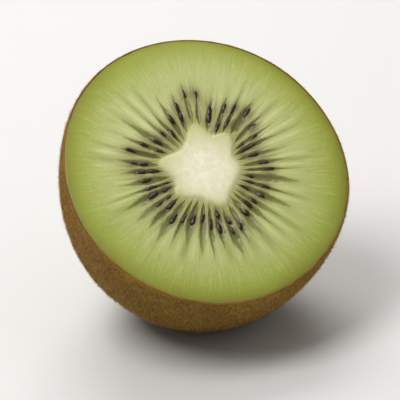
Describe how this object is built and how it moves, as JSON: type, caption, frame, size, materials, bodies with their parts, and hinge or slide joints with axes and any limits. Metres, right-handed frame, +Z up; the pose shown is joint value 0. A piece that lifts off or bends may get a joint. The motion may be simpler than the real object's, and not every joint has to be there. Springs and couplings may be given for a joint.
{
  "type": "kiwi fruit half",
  "caption": "Half of a kiwi fruit, cut across the middle, lying on its rounded fuzzy side with the green seeded face tilted up.",
  "frame": {"origin": "on the surface it rests on, under the middle of the bounding box", "axes": "+Z up; the cut face looks towards -Y and up, tilted 39.2 degrees from level, so its normal is (0, -0.632, 0.775); +X is to the right of someone who faces the cut; the stem end is at the back, low on the +Y side"},
  "size_m": [0.0512, 0.0514, 0.0486],
  "materials": {
    "kiwi_flesh": "moist, translucent green fruit flesh with fine radial streaks round a cream core",
    "kiwi_skin": "thin brown peel, dull, with short fine fuzz",
    "kiwi_core": "pale cream, dense and slightly moist",
    "kiwi_seed": "glossy near-black seed coat"
  },
  "bodies": {
    "root": {"kiwi_half": "kiwi_flesh"}
  },
  "joints": []
}
